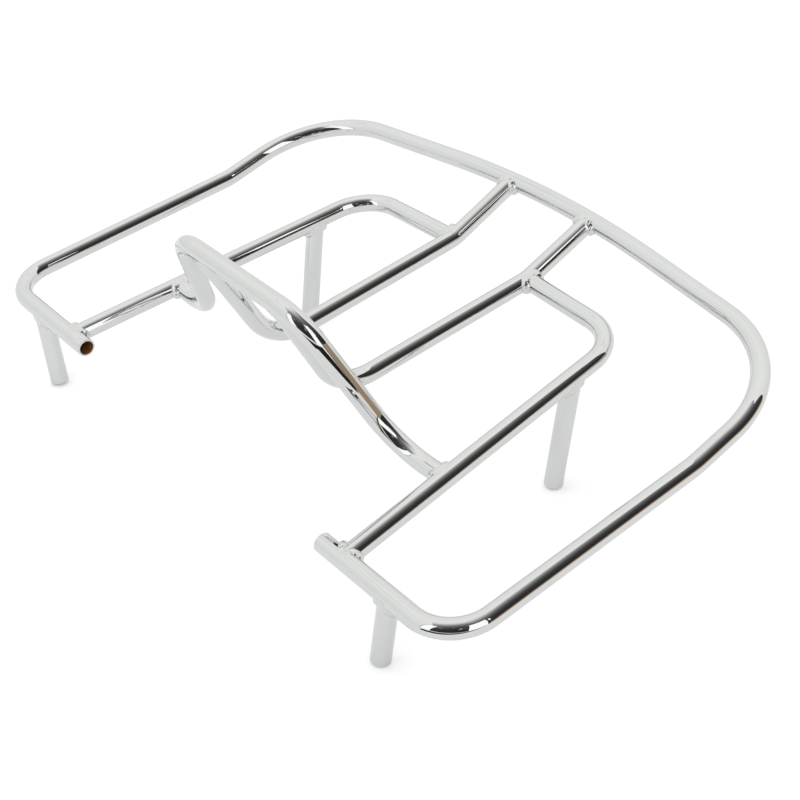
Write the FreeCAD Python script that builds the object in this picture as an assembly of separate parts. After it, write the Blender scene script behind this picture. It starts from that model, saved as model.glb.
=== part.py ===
# Tubular luggage rack for the top box of a touring motorcycle.
#
# One long outer rail makes the front corners, the sides and the raised rear hoop.
# Two inner rails and two centre rails fill the platform inside it, and a bow at the
# front stands up as a stop for the load. Four legs with tapped ends carry the rack.
# All tubes have one diameter. Each branch is coped to the tube that it meets, and a
# weld bead goes round the joint.
#
# Millimetres, +Z up. X is across the rack, and the open front edge is towards -Y.
# The origin is on the surface that the legs stand on, under the middle of the rack.
# Stations along Y are measured back from the front tube's axis, and rises along Z
# are measured up from it. The pieces are made there and then moved to the origin.
import FreeCAD, Part
import math
import os
from FreeCAD import Vector

# Tube stock
tube_diameter = 12.7
tube_wall = 1.25
cope_gap = 0.08

# Outer rail, from its open front end round to the middle of the rear hoop
tip_past_inner_rail = 19.5
front_corner_half_width = 245.5
front_corner_radius = 29.5
kink_half_width = 241.0
kink_ahead_of_rear_corner = 93.6
kink_rise = 20.8
kink_radius = 50.0
rear_corner_half_width = 239.0
rear_corner_y = 283.6
rear_corner_rise = 47.0
rear_corner_radius = 75.0
rear_bow = 24.9
rear_crown = 13.3
rear_bow_radius = 850.0

# Inner rails, from the front tube to the bend that turns them in
inner_front_half_width = 153.5
inner_bend_half_width = 129.7
inner_bend_ahead_of_rear_corner = 41.6
inner_bend_rise = 31.6
inner_bend_radius = 32.5

# Centre rails, from the bow's top bar down to the platform and up the rear ramp
riser_inboard_of_shoulder = 22.0
centre_front_half_width = 36.5
centre_front_y = 87.5
centre_front_rise = 14.4
centre_front_radius = 37.5
centre_kink_half_width = 38.0
centre_kink_ahead_of_rear_corner = 38.3
centre_kink_rise = 32.7
centre_kink_radius = 24.0
centre_rear_half_width = 39.0

# Front bow, from its feet on the inner rails to its top bar
bow_foot_y = 82.7
bow_foot_run = 43.17
bow_knee_dip = 3.0
bow_knee_radius = 41.0
bow_shoulder_half_width = 64.0
bow_shoulder_radius = 29.0
bow_top_y = 42.5
bow_top_rise = 99.1

# Legs: the front ones stand a share of the way from inner rail to front corner
front_tube_height = 54.6
front_leg_share = 0.4478
front_leg_lean_in = 9.5
front_leg_lean_forward = 1.0
rear_leg_ahead_of_bend = 47.0
rear_leg_lean_in = 1.5
rear_leg_lean_forward = 12.4
leg_end_chamfer = 0.9

# Threaded inserts in the ends of the legs
insert_clearance = 0.02
insert_floor = 3.0
thread_hole_radius = 2.5
thread_depth = 15.0
thread_mouth_chamfer = 0.6

# Weld beads
bead_size = 2.4
bead_main_share = 0.8
bead_round = 0.75
bead_clearance = 0.02

# Sizes that follow from the stock
tube_radius = tube_diameter / 2
bore_radius = tube_radius - tube_wall
insert_length = thread_depth + insert_floor
foot_chamfer = min(leg_end_chamfer, 0.75 * tube_wall)


def between(a, b, share):
    return a + (b - a) * share


def flipped(points):
    """The same points on the left-hand side."""
    return [Vector(-point.x, point.y, point.z) for point in points]


# Skeleton of the right-hand side, with the front tube's axis as zero
tip = Vector(inner_front_half_width - tip_past_inner_rail, 0, 0)
front_corner = Vector(front_corner_half_width, 0, 0)
rear_corner = Vector(rear_corner_half_width, rear_corner_y, rear_corner_rise)
rear_middle = Vector(0, rear_corner_y + rear_bow, rear_corner_rise + rear_crown)
kink = Vector(kink_half_width, rear_corner_y - kink_ahead_of_rear_corner, kink_rise)

inner_bend_y = rear_corner_y - inner_bend_ahead_of_rear_corner
inner_front = Vector(inner_front_half_width, 0, 0)
inner_bend = Vector(inner_bend_half_width, inner_bend_y, inner_bend_rise)

bow_foot = between(inner_front, inner_bend, bow_foot_y / inner_bend_y)
bow_knee = bow_foot - Vector(bow_foot_run, 0, bow_knee_dip)
bow_shoulder = Vector(bow_shoulder_half_width, bow_top_y, bow_top_rise)

centre_kink_y = rear_corner_y - centre_kink_ahead_of_rear_corner
riser_top = bow_shoulder - Vector(riser_inboard_of_shoulder, 0, 0)
centre_front = Vector(centre_front_half_width, centre_front_y, centre_front_rise)
centre_kink = Vector(centre_kink_half_width, centre_kink_y, centre_kink_rise)


def on_rear_hoop(half_width):
    """The point of the rear hoop's axis at a half width: its middle is an arc."""
    fall = rear_corner - rear_middle
    half_turn = math.asin(math.hypot(fall.y, fall.z) / fall.Length)
    if half_width >= rear_bow_radius * math.sin(half_turn):
        return between(rear_middle, rear_corner, half_width / rear_corner.x)
    inside_corner = rear_bow_radius * (1 / math.cos(half_turn) - 1)
    below_middle = rear_bow_radius - math.sqrt(rear_bow_radius ** 2 - half_width ** 2)
    down = Vector(0, fall.y, fall.z).normalize()
    return rear_middle + Vector(half_width, 0, 0) + down * (inside_corner + below_middle)


centre_rear = on_rear_hoop(centre_rear_half_width)
front_leg_top = between(inner_front, front_corner, front_leg_share)
rear_leg_top = between(inner_front, inner_bend, 1 - rear_leg_ahead_of_bend / inner_bend_y)


def leg_foot(top, lean_in, lean_forward):
    """The middle of a leg's end, at the height that puts its lowest edge on the ground."""
    drop = front_tube_height + top.z
    down = Vector(-lean_in, -lean_forward, -drop)
    slope = math.hypot(lean_in, lean_forward) / down.Length
    edge_drop = (tube_radius - foot_chamfer) * slope
    return top + down * (1 - edge_drop / drop)


front_leg_foot = leg_foot(front_leg_top, front_leg_lean_in, front_leg_lean_forward)
rear_leg_foot = leg_foot(rear_leg_top, rear_leg_lean_in, rear_leg_lean_forward)

overall_depth = on_rear_hoop(0).y + tube_diameter
to_origin = Vector(0, tube_radius - overall_depth / 2, front_tube_height)


def rounded_path(points, radii):
    """A wire of straight runs through the points, joined by tangent arcs."""
    edges = []
    start = points[0]
    for before, corner, after, radius in zip(points, points[1:], points[2:], radii):
        back = (before - corner).normalize()
        onward = (after - corner).normalize()
        half_turn = (math.pi - back.getAngle(onward)) / 2
        reach = radius * math.tan(half_turn)
        inward = (back + onward).normalize()
        arc_start = corner + back * reach
        arc_middle = corner + inward * radius * (1 / math.cos(half_turn) - 1)
        arc_end = corner + onward * reach
        edges.append(Part.LineSegment(start, arc_start).toShape())
        edges.append(Part.Arc(arc_start, arc_middle, arc_end).toShape())
        start = arc_end
    edges.append(Part.LineSegment(start, points[-1]).toShape())
    return Part.Wire(edges)


def largest(shape):
    return max(shape.Solids, key=lambda solid: solid.Volume)


class Tube:
    """A tube bent along a path: bar() is its outer form, and shell is the hollow piece."""

    def __init__(self, points, radii=()):
        self.points = points
        self.path = rounded_path(self.points, radii)
        self.shell = self.bar().cut(self.rod(bore_radius))

    def rod(self, radius):
        ring = Part.Circle(self.points[0], self.points[1] - self.points[0], radius)
        return self.path.makePipeShell([Part.Wire([ring.toShape()])], True, False)

    def bar(self, extra=0):
        return self.rod(tube_radius + extra)

    def coped(self, *mains):
        """The hollow piece with its ends cut to seat on the tubes that it meets."""
        shape = self.shell
        for main in mains:
            shape = shape.cut(main.bar(cope_gap))
        return largest(shape)


def weld(foot, along, main):
    """A bead round the saddle where a branch, which starts at foot, meets a main tube."""
    reach = (along - foot).normalize() * (tube_radius + bead_size) * 2
    sleeve = Part.makeCylinder(tube_radius + bead_size, reach.Length, foot, reach)
    sleeve = sleeve.cut(Part.makeCylinder(tube_radius + bead_clearance, reach.Length, foot, reach))
    limit = math.sqrt(2) * tube_radius + bead_round * bead_size
    shape = sleeve.common(Part.makeSphere(limit, foot, reach))
    shape = shape.common(main.bar(bead_size * bead_main_share))
    return largest(shape.cut(main.bar()))


def leg(tube, main):
    """A leg coped to its rail, with a chamfer round the outer edge of its foot."""
    shape = tube.coped(main)
    rim = []
    for edge in shape.Edges:
        centred = edge.CenterOfMass.distanceToPoint(tube.points[1]) < 0.01
        if centred and abs(edge.Length - math.pi * tube_diameter) < 0.01:
            rim.append(edge)
    return shape.makeChamfer(foot_chamfer, rim)


def insert(tube):
    """A round insert flush in the leg's end, with a blind tapped hole."""
    top, foot = tube.points
    up = top - foot
    body = Part.makeCylinder(bore_radius - insert_clearance, insert_length, foot, up)
    hole = Part.makeCylinder(thread_hole_radius, thread_depth, foot, up)
    mouth_radius = thread_hole_radius + thread_mouth_chamfer
    mouth = Part.makeCone(mouth_radius, thread_hole_radius, thread_mouth_chamfer, foot, up)
    return body.cut(hole).cut(mouth)


# Tubes
outer_half = [tip, front_corner, kink, rear_corner]
outer_radii = [front_corner_radius, kink_radius, rear_corner_radius]
outer = Tube(outer_half + [rear_middle] + flipped(outer_half)[::-1],
             outer_radii + [rear_bow_radius] + outer_radii[::-1])
bow_half = [bow_foot, bow_knee, bow_shoulder]
bow_radii = [bow_knee_radius, bow_shoulder_radius]
bow = Tube(bow_half + flipped(bow_half)[::-1], bow_radii + bow_radii[::-1])
inner = Tube([inner_front, inner_bend, centre_kink], [inner_bend_radius])
inner_left = Tube(flipped([inner_front, inner_bend, centre_kink]), [inner_bend_radius])
centre = Tube([riser_top, centre_front, centre_kink, centre_rear],
              [centre_front_radius, centre_kink_radius])
front_leg = Tube([front_leg_top, front_leg_foot])
rear_leg = Tube([rear_leg_top, rear_leg_foot])

# Pieces that come once
whole = {
    "outer_rail": outer.shell,
    "front_bow": bow.coped(inner, inner_left),
}

# Pieces that come in pairs, made for the right-hand side
paired = {
    "inner_rail": inner.coped(outer, centre),
    "centre_rail": centre.coped(outer, bow),
    "leg_front": leg(front_leg, outer),
    "leg_rear": leg(rear_leg, inner),
    "leg_insert_front": insert(front_leg),
    "leg_insert_rear": insert(rear_leg),
    "weld_inner_front": weld(inner_front, inner_bend, outer),
    "weld_inner_rear": weld(centre_kink, inner_bend, centre),
    "weld_centre_rear": weld(centre_rear, centre_kink, outer),
    "weld_riser": weld(riser_top, centre_front, bow),
    "weld_bow_foot": weld(bow_foot, bow_knee, inner),
    "weld_leg_front": weld(front_leg_top, front_leg_foot, outer),
    "weld_leg_rear": weld(rear_leg_top, rear_leg_foot, inner),
}

pieces = {name: shape.translated(to_origin) for name, shape in whole.items()}
for name, shape in paired.items():
    placed = shape.translated(to_origin)
    pieces[name + "_right"] = placed
    pieces[name + "_left"] = placed.mirror(Vector(0, 0, 0), Vector(1, 0, 0))

os.makedirs("parts", exist_ok=True)
for name, shape in pieces.items():
    shape.exportStep("parts/" + name + ".step")
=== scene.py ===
import math

import bmesh
import bpy
from mathutils import Matrix, Quaternion, Vector, noise


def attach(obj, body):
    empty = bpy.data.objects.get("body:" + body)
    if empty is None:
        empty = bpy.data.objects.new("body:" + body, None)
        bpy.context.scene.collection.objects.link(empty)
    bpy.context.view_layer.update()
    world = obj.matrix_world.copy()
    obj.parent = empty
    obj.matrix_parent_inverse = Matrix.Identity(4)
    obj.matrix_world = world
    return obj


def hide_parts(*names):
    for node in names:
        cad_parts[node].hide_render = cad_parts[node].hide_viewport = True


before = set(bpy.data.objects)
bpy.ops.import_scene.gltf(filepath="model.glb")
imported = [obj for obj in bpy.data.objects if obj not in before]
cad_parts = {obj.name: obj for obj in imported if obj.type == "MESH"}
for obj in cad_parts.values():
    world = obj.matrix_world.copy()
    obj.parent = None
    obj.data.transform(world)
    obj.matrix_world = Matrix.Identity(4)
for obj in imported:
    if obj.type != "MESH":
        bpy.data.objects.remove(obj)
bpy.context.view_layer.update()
scene = bpy.context.scene


def degrees(*angles):
    return tuple(math.radians(angle) for angle in angles)


def heights(*angles):
    """Elevations in degrees as the height of a direction one unit long."""
    return tuple(math.sin(math.radians(angle)) for angle in angles)


# Tube stock, in metres
MM = 0.001
TUBE_RADIUS = 6.35 * MM
TUBE_BORE = 5.10 * MM
COPE_GAP = 0.08 * MM
RING_SIDES = 72
TIP_ROUND = 0.25 * MM
FOOT_CHAMFER = 0.9 * MM
EDGE_ANGLE = math.radians(35)

# Seating: how near counts as touching, and how far and finely a meeting wall is searched for
TOUCH = 0.02 * MM
SEARCH_WALLS = 3
SEARCH_STEPS = 24

# Weld beads
BEAD_CLEARANCE = 0.02 * MM
BEAD_ROOT = 0.35 * MM
BEAD_LEG = 3.1 * MM
BEAD_BULGE = 0.7 * MM
BEAD_LEAN = 0.2
BEAD_WANDER = 0.25
BEAD_WANDER_PACE = 1.7
BEAD_STEPS = 192
BEAD_SECTION = 14
RIPPLES = 15
RIPPLE_HEIGHT = 0.15 * MM
RIPPLE_SKEW = 0.16
LUMP_HEIGHT = 2.2 * MM
LUMP_GRAIN = (260, 2.5, 0.62)
NOISE_MIDDLE = 0.5

# Threaded inserts
INSERT_RADIUS = 5.08 * MM
INSERT_LENGTH = 18.0 * MM
THREAD_HOLE = 2.5 * MM
THREAD_DEPTH = 15.0 * MM
THREAD_MOUTH = 0.6 * MM
THREAD_PITCH = 1.0 * MM
THREAD_CUT = 0.5 * MM
THREAD_FLANK = 1.15
THREAD_SIDES = 48
THREAD_ROWS = 8

# Finishes. A grain is a noise's scale, detail and roughness
WHITE = (1, 1, 1, 1)
PLATING = (0.69, 0.705, 0.7, 1)
CHROME_HAZE = 0.5
CHROME_WAVINESS = 0.02
CHROME_POLISH = 0.008
HAZE_GRAIN = (38, 5, 0.6)
HAZE_LIMITS = (0.35, 0.75)
HAZE_TINT = (0.955, 0.955, 0.95, 1)
HAZE_ROUGHNESS = 0.02
RUB_GRAIN = (900, 3, 0.7)
RUB_ROUGHNESS = 0.012
WAVE_GRAIN = (55, 1, 0.4)
WAVE_DEPTH = 1 * MM
INSERT_PLATING = (0.52, 0.5, 0.45, 1)
RUST_GRAIN = (420, 6, 0.65)
RUST_LIMITS = (0.3, 0.72)
RUST_DARK = (0.09, 0.035, 0.012, 1)
RUST_BRIGHT = (0.48, 0.19, 0.05, 1)
RUST_ROUGHNESS = 0.8
RUST_DEPTH = 0.2 * MM
RUST_STRENGTH = 0.5

# Studio
FLOOR_REACH = 6
FLOOR_WHITE = (0.9, 0.9, 0.9, 1)
FLOOR_GLOW = 0.3
FLOOR_GLOW_IN_METAL = 0.14
TABLE_EDGE = math.radians(-78)
TABLE_EDGE_REACH = (0.35, 0.8)
TABLE_EDGE_FROM = 0.2
TABLE_EDGE_SHADE = (0.02, 0.02, 0.02, 1)
FAR_FLOOR = math.radians(40)
FAR_FLOOR_REACH = (0.55, 7.0)
FAR_FLOOR_WHITE = (0.98, 0.84, 0.74, 1)
WORLD_LIGHT = (0.85, 0.85, 0.85, 1)
LAMP_POWER = 4.0
LAMP_SIZE = 1.6
LAMP_PLACE = (-0.3, -0.4, 1.8)

# The room that the metal mirrors: shades are pairs of place and level
ROOM_TINT = (1.0, 0.995, 0.985)
DARK_BEARINGS = degrees(28, -40)
DARK_SHADES = ((-1.0, 1.0), (-0.15, 1.0), (0.0, 0.84), (0.1, 0.66), (0.2, 0.45),
               (0.32, 0.29), (0.46, 0.17), (0.64, 0.085), (0.8, 0.042), (1.0, 0.032))
WALL_SHADES = ((-1.0, 0.84), (0.0, 0.84), (0.004, 0.7), (0.014, 0.7), (0.022, 0.96), (0.5, 0.99),
               (0.66, 1.07), (0.73, 1.05), (0.755, 0.92), (0.785, 1.08), (1.0, 1.08))
OPEN_MIDDLE = math.radians(-18)
OPEN_HALF = math.radians(80)
SIDE_WALL = math.radians(134)
SIDE_WALL_RISE = 2.5
WHITE_PANELS = ((degrees(-97, -82), heights(-4, 50)),
                (degrees(-23, 8.2), heights(-4, 51)),
                (degrees(11.6, 14.8), heights(28, 43)))
PANEL_SHADE = (1.4, 1.4, 1.4, 1)
CLUTTER = degrees(-76, -20)
CLUTTER_RISE = heights(4, 50)
CLUTTER_SHADE = (0.5, 0.5, 0.5, 1)
CLUTTER_GRAIN = (5, 3, 0.7)
CLUTTER_CUT = 0.61
SKIRTING_SPAN = degrees(12.5, 62)
SKIRTING_RISE = heights(-90, 9)
SKIRTING_SHADE = (0.4, 0.3, 0.21, 1)

# Camera, with its target in millimetres
VIEW_BEARING = math.radians(52.3)
VIEW_RISE = math.radians(35.3)
VIEW_ROLL = math.radians(-2.1)
VIEW_TARGET = (47.3, -25.2, 48.7)
VIEW_DISTANCE = 1039.6 * MM
VIEW_END = 50
LENS = 72.39
SENSOR = 36

# Skeleton of the right-hand side in millimetres, from the front tube's axis: across, back, up
TIP = (134.0, 0, 0)
FRONT_CORNER = (245.5, 0, 0)
KINK = (241.0, 190.0, 20.8)
REAR_CORNER = (239.0, 283.6, 47.0)
REAR_MIDDLE = (0, 308.5, 60.3)
INNER_FRONT = (153.5, 0, 0)
INNER_BEND = (129.7, 242.0, 31.6)
CENTRE_FRONT = (36.5, 87.5, 14.4)
CENTRE_KINK = (38.0, 245.3, 32.7)
CENTRE_REAR_X = 39.0
RISER_TOP = (42.0, 42.5, 99.1)
BOW_FOOT_Y = 82.7
BOW_FOOT_RUN = 43.17
BOW_KNEE_DIP = 3.0
BOW_SHOULDER = (64.0, 42.5, 99.1)
FRONT_LEG_TOP = (194.7, 0, 0)
FRONT_LEG_LEAN = (9.5, 1.0)
REAR_LEG_Y = 195.0
REAR_LEG_LEAN = (1.5, 12.4)
FRONT_TUBE_HEIGHT = 54.6 * MM

# Bend radii
FRONT_CORNER_BEND = 29.5 * MM
KINK_BEND = 50.0 * MM
REAR_CORNER_BEND = 75.0 * MM
REAR_BOW_BEND = 850.0 * MM
INNER_BEND_RADIUS = 32.5 * MM
CENTRE_FRONT_BEND = 37.5 * MM
CENTRE_KINK_BEND = 24.0 * MM
BOW_KNEE_BEND = 41.0 * MM
BOW_SHOULDER_BEND = 29.0 * MM


def point(values):
    """A place given in millimetres, in metres."""
    return Vector(values) * MM


def flipped(points):
    """The same points on the left-hand side."""
    return [Vector((-p.x, p.y, p.z)) for p in points]


def rounded_path(points, radii, turn_step=math.radians(2), run_step=12 * MM, least_steps=3):
    """Points along straight runs joined by tangent arcs, dense enough to look smooth."""
    path = [points[0].copy()]

    def run_to(end):
        start = path[-1].copy()
        pieces = max(1, int((end - start).length / run_step))
        for i in range(1, pieces + 1):
            path.append(start.lerp(end, i / pieces))

    for before, corner, after, radius in zip(points, points[1:], points[2:], radii):
        back = (before - corner).normalized()
        onward = (after - corner).normalized()
        turn = math.pi - back.angle(onward)
        reach = radius * math.tan(turn / 2)
        centre = corner + (back + onward).normalized() * (radius / math.cos(turn / 2))
        axis = back.cross(onward).normalized()
        run_to(corner + back * reach)
        spoke = path[-1] - centre
        steps = max(least_steps, math.ceil(turn / turn_step), math.ceil(radius * turn / run_step))
        for i in range(1, steps + 1):
            path.append(centre + Quaternion(axis, -turn * i / steps) @ spoke)
    run_to(points[-1])
    return path


class Skeleton:
    """Every tube's path in the frame's own place, with the ends that seat on other tubes."""

    def __init__(self):
        rear_fall = point(REAR_CORNER) - point(REAR_MIDDLE)
        half_turn = math.asin(math.hypot(rear_fall.y, rear_fall.z) / rear_fall.length)
        self.inside_corner = REAR_BOW_BEND * (1 / math.cos(half_turn) - 1)
        self.rear_down = Vector((0, rear_fall.y, rear_fall.z)).normalized()
        depth = self.rear_point(0).y + 2 * TUBE_RADIUS
        self.to_origin = Vector((0, TUBE_RADIUS - depth / 2, FRONT_TUBE_HEIGHT))

        inner_front, inner_bend = point(INNER_FRONT), point(INNER_BEND)
        foot = inner_front.lerp(inner_bend, BOW_FOOT_Y / INNER_BEND[1])
        knee = foot - point((BOW_FOOT_RUN, 0, BOW_KNEE_DIP))
        rear_leg_top = inner_front.lerp(inner_bend, REAR_LEG_Y / INNER_BEND[1])

        outer = [point(p) for p in (TIP, FRONT_CORNER, KINK, REAR_CORNER)]
        outer_bends = [FRONT_CORNER_BEND, KINK_BEND, REAR_CORNER_BEND]
        bow = [foot, knee, point(BOW_SHOULDER)]
        bow_bends = [BOW_KNEE_BEND, BOW_SHOULDER_BEND]
        self.half = {
            "inner_rail": ([inner_front, inner_bend, point(CENTRE_KINK)], [INNER_BEND_RADIUS]),
            "centre_rail": ([point(RISER_TOP), point(CENTRE_FRONT), point(CENTRE_KINK),
                             self.rear_point(CENTRE_REAR_X * MM)],
                            [CENTRE_FRONT_BEND, CENTRE_KINK_BEND]),
            "leg_front": self.leg(point(FRONT_LEG_TOP), FRONT_LEG_LEAN),
            "leg_rear": self.leg(rear_leg_top, REAR_LEG_LEAN),
        }
        self.whole = {
            "outer_rail": (outer + [point(REAR_MIDDLE)] + flipped(outer)[::-1],
                           outer_bends + [REAR_BOW_BEND] + outer_bends[::-1]),
            "front_bow": (bow + flipped(bow)[::-1], bow_bends + bow_bends[::-1]),
        }

    def rear_point(self, across):
        """A point on the rear hoop's axis, on the arc at its middle."""
        below = REAR_BOW_BEND - math.sqrt(REAR_BOW_BEND ** 2 - across ** 2)
        return point(REAR_MIDDLE) + Vector((across, 0, 0)) + self.rear_down * (self.inside_corner + below)

    def leg(self, top, lean):
        """A leg's axis, cut short so that the low side of its leaning foot stands on the floor."""
        drop = FRONT_TUBE_HEIGHT + top.z
        down = Vector((-lean[0] * MM, -lean[1] * MM, -drop))
        slope = math.hypot(down.x, down.y) / down.length
        edge_drop = (TUBE_RADIUS - FOOT_CHAMFER) * slope
        return [top, top + down * (1 - edge_drop / drop)], []

    def paths(self):
        """Node name to the points of its axis."""
        paths = {}
        for name, (points, radii) in self.whole.items():
            paths[name] = rounded_path([p + self.to_origin for p in points], radii)
        for name, (points, radii) in self.half.items():
            right = [p + self.to_origin for p in points]
            paths[name + "_right"] = rounded_path(right, radii)
            paths[name + "_left"] = rounded_path(flipped(right), radii)
        return paths


# Node trees

def value_node(tree, kind, **settings):
    """A node of a tree, with its own settings and any input that is given a value."""
    node = tree.nodes.new(kind)
    inputs = settings.pop("inputs", {})
    for name, value in settings.items():
        setattr(node, name, value)
    for name, value in inputs.items():
        node.inputs[name].default_value = value
    return node


def chain(tree, *sockets):
    """Links sockets in pairs: from, to, from, to."""
    for start, end in zip(sockets[::2], sockets[1::2]):
        tree.links.new(start, end)


def feed(tree, term, socket):
    """Gives an input a plain value or another node's output."""
    if isinstance(term, bpy.types.NodeSocket):
        tree.links.new(term, socket)
    else:
        socket.default_value = term


def maths(tree, operation, *terms):
    """A math node. Each term is a number or another node's output."""
    node = value_node(tree, "ShaderNodeMath", operation=operation)
    for socket, term in zip(node.inputs, terms):
        feed(tree, term, socket)
    return node.outputs[0]


def mix(tree, share, first, second, blend="MIX"):
    """A colour mix. The share and both colours are values or other nodes' outputs."""
    node = value_node(tree, "ShaderNodeMix", data_type="RGBA", blend_type=blend)
    for name, term in (("Factor", share), ("A", first), ("B", second)):
        feed(tree, term, node.inputs[name])
    return node.outputs["Result"]


def noise_node(tree, place, grain, **settings):
    """A noise over a place, with a grain's scale, detail and roughness."""
    inputs = dict(zip(("Scale", "Detail", "Roughness"), grain))
    node = value_node(tree, "ShaderNodeTexNoise", inputs=inputs, **settings)
    chain(tree, place, node.inputs["Vector"])
    return node


def speckle(tree, place, grain):
    """A noise over a place, as a value."""
    return noise_node(tree, place, grain).outputs["Fac"]


def new_tree(name, kind, inputs, outputs):
    """A node tree, the outputs of its input node and the inputs of its output node."""
    tree = bpy.data.node_groups.new(name, kind)
    for label, socket_kind, value in inputs:
        socket = tree.interface.new_socket(label, in_out="INPUT", socket_type="NodeSocket" + socket_kind)
        if value is not None:
            socket.default_value = value
    for label, socket_kind in outputs:
        tree.interface.new_socket(label, in_out="OUTPUT", socket_type="NodeSocket" + socket_kind)
    return tree, tree.nodes.new("NodeGroupInput").outputs, tree.nodes.new("NodeGroupOutput").inputs


# Materials

def polish_group():
    """Colour, roughness and normal of plated steel: faint waves, haze and fine rub marks."""
    tree, given, result = new_tree(
        "plated_polish", "ShaderNodeTree",
        (("Plating", "Color", PLATING), ("Haze", "Float", CHROME_HAZE),
         ("Waviness", "Float", CHROME_WAVINESS), ("Polish", "Float", CHROME_POLISH)),
        (("Color", "Color"), ("Roughness", "Float"), ("Normal", "Vector")))
    place = tree.nodes.new("ShaderNodeTexCoord").outputs["Object"]
    spread = value_node(tree, "ShaderNodeMapRange",
                        inputs={"From Min": HAZE_LIMITS[0], "From Max": HAZE_LIMITS[1]})
    chain(tree, speckle(tree, place, HAZE_GRAIN), spread.inputs["Value"])
    hazy = maths(tree, "MULTIPLY", spread.outputs["Result"], given["Haze"])
    tint = mix(tree, hazy, WHITE, HAZE_TINT)

    rubs = speckle(tree, place, RUB_GRAIN)
    fine = maths(tree, "MULTIPLY_ADD", rubs, RUB_ROUGHNESS, given["Polish"])
    waves = value_node(tree, "ShaderNodeBump", inputs={"Distance": WAVE_DEPTH})
    chain(tree, given["Waviness"], waves.inputs["Strength"],
          speckle(tree, place, WAVE_GRAIN), waves.inputs["Height"],
          mix(tree, 1.0, given["Plating"], tint, "MULTIPLY"), result["Color"],
          maths(tree, "MULTIPLY_ADD", hazy, HAZE_ROUGHNESS, fine), result["Roughness"],
          waves.outputs["Normal"], result["Normal"])
    return tree


def material(name, metallic):
    """A material with only its Principled shader and output."""
    made = bpy.data.materials.new(name)
    made.use_nodes = True
    shader = made.node_tree.nodes["Principled BSDF"]
    shader.inputs["Metallic"].default_value = metallic
    return made, made.node_tree, shader


def plated(name, polish, **values):
    """Bright plating with its own values for the shared polish group."""
    made, tree, shader = material(name, 1.0)
    finish = tree.nodes.new("ShaderNodeGroup")
    finish.node_tree = polish
    for key, value in values.items():
        finish.inputs[key].default_value = value
    chain(tree, finish.outputs["Color"], shader.inputs["Base Color"],
          finish.outputs["Roughness"], shader.inputs["Roughness"],
          finish.outputs["Normal"], shader.inputs["Normal"])
    return made


def unplated_bore():
    """The bare inside of a tube: brown flash rust over dark steel."""
    made, tree, shader = material("unplated_bore", 0.0)
    rust = speckle(tree, tree.nodes.new("ShaderNodeTexCoord").outputs["Object"], RUST_GRAIN)
    colours = tree.nodes.new("ShaderNodeValToRGB")
    for stop, place, colour in zip(colours.color_ramp.elements, RUST_LIMITS, (RUST_DARK, RUST_BRIGHT)):
        stop.position = place
        stop.color = colour
    bump = value_node(tree, "ShaderNodeBump", inputs={"Strength": RUST_STRENGTH, "Distance": RUST_DEPTH})
    chain(tree, rust, colours.inputs["Fac"], colours.outputs["Color"], shader.inputs["Base Color"],
          rust, bump.inputs["Height"], bump.outputs["Normal"], shader.inputs["Normal"])
    shader.inputs["Roughness"].default_value = RUST_ROUGHNESS
    return made


polish = polish_group()
CHROME = plated("chrome_tube", polish)
WELD_CHROME = plated("chrome_weld", polish, Haze=0.9, Waviness=0.05, Polish=0.03)
INSERT_STEEL = plated("insert_steel", polish, Plating=INSERT_PLATING, Haze=1.0, Waviness=0.03, Polish=0.25)
BARE_BORE = unplated_bore()


# Meshes

def new_piece(name, points, edges=(), faces=()):
    mesh = bpy.data.meshes.new(name)
    mesh.from_pydata(points, edges, faces)
    piece = bpy.data.objects.new(name, mesh)
    scene.collection.objects.link(piece)
    return piece


def grown(holder, tree, **values):
    """Runs a geometry tree on an object and keeps its result as the object's plain mesh."""
    modifier = holder.modifiers.new(tree.name, "NODES")
    modifier.node_group = tree
    for item in tree.interface.items_tree:
        if item.item_type == "SOCKET" and item.in_out == "INPUT" and item.name in values:
            modifier[item.identifier] = values[item.name]
    depsgraph = bpy.context.evaluated_depsgraph_get()
    mesh = bpy.data.meshes.new_from_object(holder.evaluated_get(depsgraph), depsgraph=depsgraph)
    mesh.name = holder.name
    holder.modifiers.clear()
    holder.data = mesh
    return holder


def ring_faces(rings, sides, closed):
    """Faces between rings of points that follow each other, closed into a loop or left open."""
    faces = []
    for ring in range(rings if closed else rings - 1):
        here = ring * sides
        there = (ring + 1) % rings * sides
        for k in range(sides):
            onward = (k + 1) % sides
            faces.append((here + k, here + onward, there + onward, there + k))
    return faces


def turn_outward(piece):
    """Makes every face of a closed mesh point outwards."""
    form = bmesh.new()
    form.from_mesh(piece.data)
    bmesh.ops.recalc_face_normals(form, faces=form.faces)
    form.to_mesh(piece.data)
    form.free()


def smoothed(piece):
    """Smooth shading that keeps the sharp edges."""
    piece.data.shade_smooth()
    piece.data.set_sharp_from_angle(angle=EDGE_ANGLE)
    return piece


def cross_axes(direction):
    """Two directions square to a given one and to each other."""
    side = direction.orthogonal().normalized()
    return side, direction.cross(side)


def off_axis(place, axis_points):
    """The nearest point of a chain of points to a place, and how far away it is."""
    best, nearest = None, math.inf
    for a, b in zip(axis_points, axis_points[1:]):
        run = b - a
        share = min(1.0, max(0.0, (place - a).dot(run) / run.length_squared))
        spot = a + run * share
        away = (place - spot).length
        if away < nearest:
            best, nearest = spot, away
    return best, nearest


def near_part(axis_points, place, reach=40 * MM):
    """The stretch of a chain of points that lies round a place."""
    close = [i for i, p in enumerate(axis_points) if (p - place).length < reach]
    return axis_points[max(0, close[0] - 1):close[-1] + 2]


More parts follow.
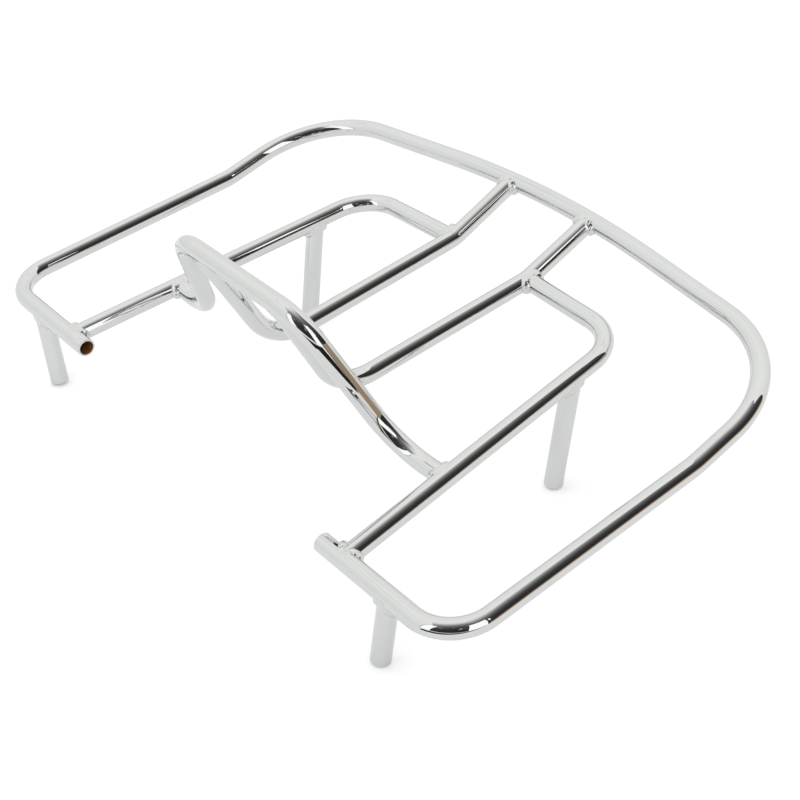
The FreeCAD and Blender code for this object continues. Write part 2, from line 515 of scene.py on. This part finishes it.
def run_to_wall(start, direction, axis_points, wall):
    """How far a point runs along a direction until it is a wall's distance from an axis."""
    low, high = 0.0, SEARCH_WALLS * wall
    for _ in range(SEARCH_STEPS):
        middle = (low + high) / 2
        if off_axis(start + direction * middle, axis_points)[1] < wall:
            low = middle
        else:
            high = middle
    return high


# Bent tubes

def tube_tree():
    """Sweeps a round wall and a bore along the object's own chain of edges."""
    tree, given, result = new_tree(
        "bent_tube", "GeometryNodeTree",
        (("Path", "Geometry", None), ("Radius", "Float", None), ("Bore", "Float", None),
         ("Sides", "Int", None), ("Wall", "Material", None), ("Inside", "Material", None)),
        (("Tube", "Geometry"),))
    tree.is_modifier = True
    route = tree.nodes.new("GeometryNodeMeshToCurve")
    chain(tree, given["Path"], route.inputs["Mesh"])
    walls = []
    for radius, finish, flips in (("Radius", "Wall", False), ("Bore", "Inside", True)):
        ring = tree.nodes.new("GeometryNodeCurvePrimitiveCircle")
        sweep = tree.nodes.new("GeometryNodeCurveToMesh")
        paint = tree.nodes.new("GeometryNodeSetMaterial")
        chain(tree, given["Sides"], ring.inputs["Resolution"], given[radius], ring.inputs["Radius"],
              route.outputs["Curve"], sweep.inputs["Curve"],
              ring.outputs["Curve"], sweep.inputs["Profile Curve"],
              given[finish], paint.inputs["Material"])
        swept = sweep.outputs["Mesh"]
        if flips:
            flip = tree.nodes.new("GeometryNodeFlipFaces")
            chain(tree, swept, flip.inputs["Mesh"])
            swept = flip.outputs["Mesh"]
        chain(tree, swept, paint.inputs["Geometry"])
        walls.append(paint.outputs["Geometry"])
    join = tree.nodes.new("GeometryNodeJoinGeometry")
    for wall in reversed(walls):
        chain(tree, wall, join.inputs["Geometry"])
    real = tree.nodes.new("GeometryNodeRealizeInstances")
    chain(tree, join.outputs["Geometry"], real.inputs["Geometry"], real.outputs["Geometry"], result["Tube"])
    return tree


class TubePiece:
    """One bent tube: swept, coped or cut square at its ends, and closed there."""

    def __init__(self, name, path, tree):
        self.path = path
        links = [(i, i + 1) for i in range(len(path) - 1)]
        self.object = grown(new_piece(name, path, links), tree, Radius=TUBE_RADIUS, Bore=TUBE_BORE,
                            Sides=RING_SIDES, Wall=CHROME, Inside=BARE_BORE)
        self.form = bmesh.new()
        self.form.from_mesh(self.object.data)

    def ring(self, end, inward, radius):
        """An end's vertices on the wall or the bore, in order round the tube."""
        found = [v for v in self.form.verts if abs((v.co - end).length - radius) < TOUCH
                 and abs((v.co - end).dot(inward)) < TOUCH]
        if len(found) != RING_SIDES:
            raise RuntimeError(f"{self.object.name}: a ring of {len(found)} vertices")
        side, up = cross_axes(inward)
        return sorted(found, key=lambda v: math.atan2((v.co - end).dot(up), (v.co - end).dot(side)))

    def finish_end(self, at_start, main):
        """Seats an end on its main tube's axis, if any, closes the wall and returns its outer ring."""
        end, inner = (self.path[0], self.path[1]) if at_start else (self.path[-1], self.path[-2])
        inward = (inner - end).normalized()
        wall = self.ring(end, inward, TUBE_RADIUS)
        bore = self.ring(end, inward, TUBE_BORE)
        shift = min(range(RING_SIDES), key=lambda i: (wall[0].co - bore[i].co).length)
        bore = bore[shift:] + bore[:shift]
        if main:
            stretch = near_part(main, end)
            for v in wall + bore:
                v.co += inward * run_to_wall(v.co.copy(), inward, stretch, TUBE_RADIUS + COPE_GAP)
        for i in range(RING_SIDES):
            j = (i + 1) % RING_SIDES
            face = self.form.faces.new((wall[i], wall[j], bore[j], bore[i]))
            face.material_index = 0
        return wall

    def stand(self):
        """Keeps the edge of a leaning foot from passing below the floor."""
        for v in self.form.verts:
            v.co.z = max(v.co.z, 0)

    def ease(self, ring, size, segments):
        """Rounds or chamfers the edge along a ring."""
        members = set(ring)
        edges = dict.fromkeys(e for v in ring for e in v.link_edges if members.issuperset(e.verts))
        bmesh.ops.bevel(self.form, geom=list(edges), offset=size, segments=segments, profile=0.5,
                        affect="EDGES")

    def done(self):
        bmesh.ops.recalc_face_normals(self.form, faces=self.form.faces)
        self.form.to_mesh(self.object.data)
        self.form.free()
        return smoothed(self.object)


def build_tubes(paths):
    """Every tube, seated as it is welded. Square ends are rounded or chamfered."""
    tree = tube_tree()
    mains = {"front_bow": ("inner_rail_right", "inner_rail_left"), "outer_rail": (None, None)}
    for side in ("right", "left"):
        mains["inner_rail_" + side] = ("outer_rail", "centre_rail_" + side)
        mains["centre_rail_" + side] = ("front_bow", "outer_rail")
        mains["leg_front_" + side] = ("outer_rail", None)
        mains["leg_rear_" + side] = ("inner_rail_" + side, None)
    made = {}
    for name, path in paths.items():
        piece = TubePiece(name + "_tube", path, tree)
        for at_start, main in zip((True, False), mains[name]):
            wall = piece.finish_end(at_start, paths.get(main))
            if main is None and name.startswith("leg"):
                piece.ease(wall, FOOT_CHAMFER, segments=1)
                piece.stand()
            elif main is None:
                piece.ease(wall, TIP_ROUND, segments=3)
        made[name] = piece.done()
    return made


# Weld beads

def ripple_tree():
    """Raises the overlapping ripples of a weld along a bead's run, with uneven lumps."""
    tree, given, result = new_tree(
        "weld_ripple", "GeometryNodeTree",
        (("Bead", "Geometry", None), ("Ripples", "Float", None), ("Height", "Float", None),
         ("Lumps", "Float", None), ("Seed", "Float", None), ("Finish", "Material", None)),
        (("Bead", "Geometry"),))
    tree.is_modifier = True
    run, crown = [value_node(tree, "GeometryNodeInputNamedAttribute", data_type="FLOAT",
                             inputs={"Name": name}).outputs["Attribute"] for name in ("run", "crown")]
    skewed = maths(tree, "MULTIPLY_ADD", crown, RIPPLE_SKEW, run)
    wave = maths(tree, "SINE", maths(tree, "MULTIPLY", skewed, given["Ripples"]))
    place = tree.nodes.new("GeometryNodeInputPosition").outputs[0]
    lumps = noise_node(tree, place, LUMP_GRAIN, noise_dimensions="4D")
    chain(tree, given["Seed"], lumps.inputs["W"])
    level = maths(tree, "SUBTRACT", lumps.outputs["Fac"], NOISE_MIDDLE)
    swell = maths(tree, "MULTIPLY", level, given["Lumps"])
    rise = maths(tree, "MULTIPLY", maths(tree, "MULTIPLY_ADD", wave, given["Height"], swell), crown)

    push = value_node(tree, "ShaderNodeVectorMath", operation="SCALE")
    move = tree.nodes.new("GeometryNodeSetPosition")
    real = tree.nodes.new("GeometryNodeRealizeInstances")
    paint = tree.nodes.new("GeometryNodeSetMaterial")
    chain(tree, tree.nodes.new("GeometryNodeInputNormal").outputs["Normal"], push.inputs[0],
          rise, push.inputs["Scale"],
          given["Bead"], move.inputs["Geometry"], push.outputs["Vector"], move.inputs["Offset"],
          move.outputs["Geometry"], real.inputs["Geometry"],
          real.outputs["Geometry"], paint.inputs["Geometry"], given["Finish"], paint.inputs["Material"],
          paint.outputs["Geometry"], result["Bead"])
    return tree


def saddle_seam(foot, up, stretch):
    """Places round a branch: the way out, the weld's hidden root and a guide just off the main tube."""
    clear = TUBE_RADIUS + BEAD_CLEARANCE
    side, across = cross_axes(up)
    seam = []
    for i in range(BEAD_STEPS):
        angle = math.tau * i / BEAD_STEPS
        spoke = side * math.cos(angle) + across * math.sin(angle)
        wall = foot + spoke * clear
        root = wall + up * run_to_wall(wall, up, stretch, clear)
        guide = wall + up * run_to_wall(wall, up, stretch, clear + BEAD_ROOT)
        seam.append((spoke, root, guide))
    return seam


def bead_section(spoke, root, guide, onward, up, stretch, size):
    """A bead's outline at one place: its root, then a low arc from the branch to the main tube."""
    centre, _ = off_axis(guide, stretch)
    sideways = (guide - centre).normalized().cross(onward)
    if sideways.dot(spoke - up * BEAD_LEAN) < 0:
        sideways.negate()
    on_branch = guide + up * BEAD_LEG * size
    toe = guide + sideways * BEAD_LEG * size
    centre, away = off_axis(toe, stretch)
    on_main = centre + (toe - centre) * ((TUBE_RADIUS + BEAD_CLEARANCE) / away)
    bulge = ((on_branch + on_main) / 2 - root).normalized() * BEAD_BULGE
    section = [root]
    for k in range(BEAD_SECTION + 1):
        share = k / BEAD_SECTION
        section.append(on_branch.lerp(on_main, share) + bulge * (4 * share * (1 - share)))
    return section


def bead(name, branch, main, tree, seed):
    """A fillet of weld round the saddle where a branch's first point meets a main tube."""
    foot = branch[0]
    up = (branch[1] - foot).normalized()
    stretch = near_part(main, foot)
    seam = saddle_seam(foot, up, stretch)
    crown = [0.0] + [math.sin(math.pi * k / BEAD_SECTION) for k in range(BEAD_SECTION + 1)]
    points, runs = [], []
    for i, (spoke, root, guide) in enumerate(seam):
        turn = math.tau * i / BEAD_STEPS
        onward = (seam[(i + 1) % BEAD_STEPS][2] - seam[i - 1][2]).normalized()
        spot = Vector((math.cos(turn) * BEAD_WANDER_PACE, math.sin(turn) * BEAD_WANDER_PACE, seed))
        size = 1 + BEAD_WANDER * noise.noise(spot)
        points += bead_section(spoke, root, guide, onward, up, stretch, size)
        runs += [turn] * len(crown)
    piece = new_piece(name, points, faces=ring_faces(BEAD_STEPS, len(crown), closed=True))
    turn_outward(piece)
    for attribute, values in (("run", runs), ("crown", crown * BEAD_STEPS)):
        piece.data.attributes.new(attribute, "FLOAT", "POINT").data.foreach_set("value", values)
    grown(piece, tree, Ripples=float(RIPPLES), Height=RIPPLE_HEIGHT, Lumps=LUMP_HEIGHT, Seed=float(seed),
          Finish=WELD_CHROME)
    return smoothed(piece)


def build_beads(paths):
    """A bead at every joint. A branch's path starts or ends on the axis of its main tube."""
    tree = ripple_tree()
    joints = []
    for side in ("right", "left"):
        inner, centre = paths["inner_rail_" + side], paths["centre_rail_" + side]
        bow = paths["front_bow"] if side == "right" else paths["front_bow"][::-1]
        joints += [
            ("inner_front_" + side, inner, paths["outer_rail"]),
            ("inner_rear_" + side, inner[::-1], centre),
            ("centre_rear_" + side, centre[::-1], paths["outer_rail"]),
            ("riser_" + side, centre, paths["front_bow"]),
            ("bow_foot_" + side, bow, inner),
            ("leg_front_" + side, paths["leg_front_" + side], paths["outer_rail"]),
            ("leg_rear_" + side, paths["leg_rear_" + side], inner),
        ]
    return {"weld_" + name: bead("bead_" + name, branch, main, tree, seed)
            for seed, (name, branch, main) in enumerate(joints, 1)}


# Threaded inserts

def groove(turn, height):
    """How deep a metric thread is cut at a height in turns: flat on the crest, pointed at the root."""
    from_root = abs((height - turn) % 1 - 0.5) * 2
    return THREAD_CUT * max(0.0, 1 - from_root * THREAD_FLANK)


def thread_rings(turns):
    """Height and radii of each ring: the insert's outside, its end face and the tapped hole."""
    outside = [INSERT_RADIUS] * len(turns)
    rings = [(INSERT_LENGTH, outside), (0.0, outside), (0.0, [THREAD_HOLE + THREAD_MOUTH] * len(turns))]
    rows = round(THREAD_DEPTH / THREAD_PITCH * THREAD_ROWS)
    for k in range(1, rows + 1):
        height = THREAD_DEPTH * k / rows
        mouth = max(0.0, THREAD_MOUTH - height)
        fade = min(1.0, (THREAD_DEPTH - height) / THREAD_PITCH)
        cuts = [fade * groove(turn, height / THREAD_PITCH) for turn in turns]
        rings.append((height, [THREAD_HOLE + max(mouth, cut) for cut in cuts]))
    return rings


def threaded_insert(name, foot, top):
    """A round insert with a blind tapped hole that opens at the leg's foot."""
    up = (top - foot).normalized()
    side, across = cross_axes(up)
    turns = [k / THREAD_SIDES for k in range(THREAD_SIDES)]
    rings = thread_rings(turns)
    points = []
    for height, radii in rings:
        for turn, radius in zip(turns, radii):
            spoke = side * math.cos(math.tau * turn) + across * math.sin(math.tau * turn)
            points.append(foot + up * height + spoke * radius)
    top_face = tuple(range(THREAD_SIDES))
    hole_end = tuple(range(len(points) - THREAD_SIDES, len(points)))
    faces = [top_face, hole_end] + ring_faces(len(rings), THREAD_SIDES, closed=False)
    piece = new_piece(name, points, faces=faces)
    turn_outward(piece)
    piece.data.materials.append(INSERT_STEEL)
    return smoothed(piece)


def build_inserts(paths):
    """An insert in the foot of every leg."""
    made = {}
    for name, path in paths.items():
        if name.startswith("leg_"):
            node = name.replace("leg_", "leg_insert_")
            made[node] = threaded_insert(node + "_threaded", path[-1], path[0])
    return made


# The object

skeleton = Skeleton()
paths = skeleton.paths()
tubes = build_tubes(paths)
beads = build_beads(paths)
inserts = build_inserts(paths)
for made, finish in ((tubes, "chrome_tube"), (beads, "chrome_weld"), (inserts, "insert_steel")):
    for node, piece in made.items():
        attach(piece, "root")
        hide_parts(node)


# Floor, light and camera

def shades(tree, value, stops):
    """A colour ramp of grey shades over values from minus one to one."""
    spread = value_node(tree, "ShaderNodeMapRange", inputs={"From Min": -1, "From Max": 1})
    made = tree.nodes.new("ShaderNodeValToRGB")
    elements = made.color_ramp.elements
    for place, _ in stops[1:-1]:
        elements.new((place + 1) / 2)
    for stop, (_, level) in zip(elements, stops):
        stop.color = [level * tint for tint in ROOM_TINT] + [1]
    chain(tree, value, spread.inputs["Value"], spread.outputs["Result"], made.inputs["Fac"])
    return made.outputs["Color"]


def between(tree, value, limits):
    """One where a value lies between two limits, and zero elsewhere."""
    return maths(tree, "MULTIPLY", maths(tree, "GREATER_THAN", value, limits[0]),
                 maths(tree, "LESS_THAN", value, limits[1]))


def along(tree, vector, bearing):
    """How far a vector reaches along a level bearing."""
    node = value_node(tree, "ShaderNodeVectorMath", operation="DOT_PRODUCT")
    node.inputs[1].default_value = (math.cos(bearing), math.sin(bearing), 0)
    chain(tree, vector, node.inputs[0])
    return node.outputs["Value"]


def studio_floor():
    """A plain white floor, bright enough to be the background and still to take a shadow.
    Polished metal also sees the table's dark edge and a warmer floor far off."""
    corners = [(x * FLOOR_REACH, y * FLOOR_REACH, 0) for x, y in ((-1, -1), (1, -1), (1, 1), (-1, 1))]
    floor = new_piece("studio_floor", corners, faces=[(0, 1, 2, 3)])
    made, tree, shader = material("studio_white", 0.0)
    shader.inputs["Roughness"].default_value = 1.0
    shader.inputs["Specular IOR Level"].default_value = 0.0
    shader.inputs["Emission Color"].default_value = WHITE
    rays = tree.nodes.new("ShaderNodeLightPath").outputs
    in_metal = rays["Is Glossy Ray"]
    place = tree.nodes.new("ShaderNodeTexCoord").outputs["Object"]
    edge = maths(tree, "MULTIPLY", between(tree, along(tree, place, TABLE_EDGE), TABLE_EDGE_REACH),
                 maths(tree, "GREATER_THAN", along(tree, place, 0), TABLE_EDGE_FROM))
    edge = maths(tree, "MULTIPLY", edge, in_metal)
    far = maths(tree, "MULTIPLY", between(tree, along(tree, place, FAR_FLOOR), FAR_FLOOR_REACH), in_metal)
    white = mix(tree, far, FLOOR_WHITE, FAR_FLOOR_WHITE)
    glow = maths(tree, "MULTIPLY_ADD", in_metal, FLOOR_GLOW_IN_METAL,
                 maths(tree, "MULTIPLY", rays["Is Camera Ray"], FLOOR_GLOW))
    glow = maths(tree, "MULTIPLY", glow, maths(tree, "SUBTRACT", 1.0, edge))
    chain(tree, mix(tree, edge, white, TABLE_EDGE_SHADE), shader.inputs["Base Color"],
          glow, shader.inputs["Emission Strength"])
    floor.data.materials.append(made)


def open_room(tree, way, bearing, rise):
    """The room's grey levels: dark on its open side, lit on its side walls and overhead."""
    depth = maths(tree, "MAXIMUM", *[along(tree, way, angle) for angle in DARK_BEARINGS])
    across = maths(tree, "ABSOLUTE", along(tree, way, OPEN_MIDDLE + math.pi / 2))
    side = maths(tree, "MULTIPLY_ADD", across, math.sin(SIDE_WALL),
                 maths(tree, "MULTIPLY", along(tree, way, OPEN_MIDDLE), math.cos(SIDE_WALL)))
    off_middle = maths(tree, "ABSOLUTE", maths(tree, "SUBTRACT", bearing, OPEN_MIDDLE))
    lit_side = maths(tree, "MULTIPLY", maths(tree, "GREATER_THAN", off_middle, OPEN_HALF),
                     maths(tree, "LESS_THAN", rise, maths(tree, "MULTIPLY", side, SIDE_WALL_RISE)))
    dark = mix(tree, lit_side, shades(tree, depth, DARK_SHADES), WHITE)
    return mix(tree, 1.0, dark, shades(tree, rise, WALL_SHADES), "MULTIPLY")


def room_patches(tree, way, bearing, rise, shown):
    """The room with its clutter, white panels and brown skirting laid over it."""
    clutter = maths(tree, "MULTIPLY", between(tree, bearing, CLUTTER), between(tree, rise, CLUTTER_RISE))
    specks = maths(tree, "GREATER_THAN", speckle(tree, way, CLUTTER_GRAIN), CLUTTER_CUT)
    shown = mix(tree, maths(tree, "MULTIPLY", clutter, specks), shown, CLUTTER_SHADE)
    flat_patches = [(span, height, PANEL_SHADE) for span, height in WHITE_PANELS]
    flat_patches.append((SKIRTING_SPAN, SKIRTING_RISE, SKIRTING_SHADE))
    for span, height, colour in flat_patches:
        patch = maths(tree, "MULTIPLY", between(tree, bearing, span), between(tree, rise, height))
        shown = mix(tree, patch, shown, colour)
    return shown


def studio_world():
    """Even white light. Polished metal also sees the room, and the camera sees white past the floor."""
    world = bpy.data.worlds.new("studio")
    scene.world = world
    world.use_nodes = True
    tree = world.node_tree
    way = tree.nodes.new("ShaderNodeTexCoord").outputs["Generated"]
    axes = tree.nodes.new("ShaderNodeSeparateXYZ")
    chain(tree, way, axes.inputs[0])
    rise = axes.outputs["Z"]
    bearing = maths(tree, "ARCTAN2", axes.outputs["Y"], axes.outputs["X"])
    shown = room_patches(tree, way, bearing, rise, open_room(tree, way, bearing, rise))

    rays = tree.nodes.new("ShaderNodeLightPath").outputs
    seen = mix(tree, rays["Is Glossy Ray"], WORLD_LIGHT, shown)
    chain(tree, mix(tree, rays["Is Camera Ray"], seen, WHITE), tree.nodes["Background"].inputs["Color"])


def soft_lamp():
    """One broad soft lamp overhead, which the polished metal doesn't mirror."""
    lamp = bpy.data.lights.new("overhead_softbox", "AREA")
    lamp.shape = "DISK"
    lamp.size = LAMP_SIZE
    lamp.energy = LAMP_POWER
    holder = bpy.data.objects.new("overhead_softbox", lamp)
    holder.location = LAMP_PLACE
    holder.rotation_euler = (-holder.location).to_track_quat("-Z", "Y").to_euler()
    holder.visible_glossy = False
    scene.collection.objects.link(holder)


def set_camera():
    """The photograph's view: bearing, elevation, roll and distance from a point on the rack."""
    level = Vector((math.cos(VIEW_BEARING), math.sin(VIEW_BEARING), 0))
    towards = Vector((level.y, -level.x, 0))
    back = towards * math.cos(VIEW_RISE) + Vector((0, 0, math.sin(VIEW_RISE)))
    upright = back.cross(level)
    right = level * math.cos(VIEW_ROLL) + upright * math.sin(VIEW_ROLL)
    up = upright * math.cos(VIEW_ROLL) - level * math.sin(VIEW_ROLL)
    lens = bpy.data.cameras.new("camera")
    lens.lens = LENS
    lens.sensor_width = SENSOR
    lens.clip_end = VIEW_END
    camera = bpy.data.objects.new("camera", lens)
    scene.collection.objects.link(camera)
    camera.matrix_world = (Matrix.Translation(point(VIEW_TARGET) + back * VIEW_DISTANCE)
                           @ Matrix((right, up, back)).transposed().to_4x4())
    scene.camera = camera


studio_floor()
studio_world()
soft_lamp()
set_camera()
scene.view_settings.view_transform = "Standard"
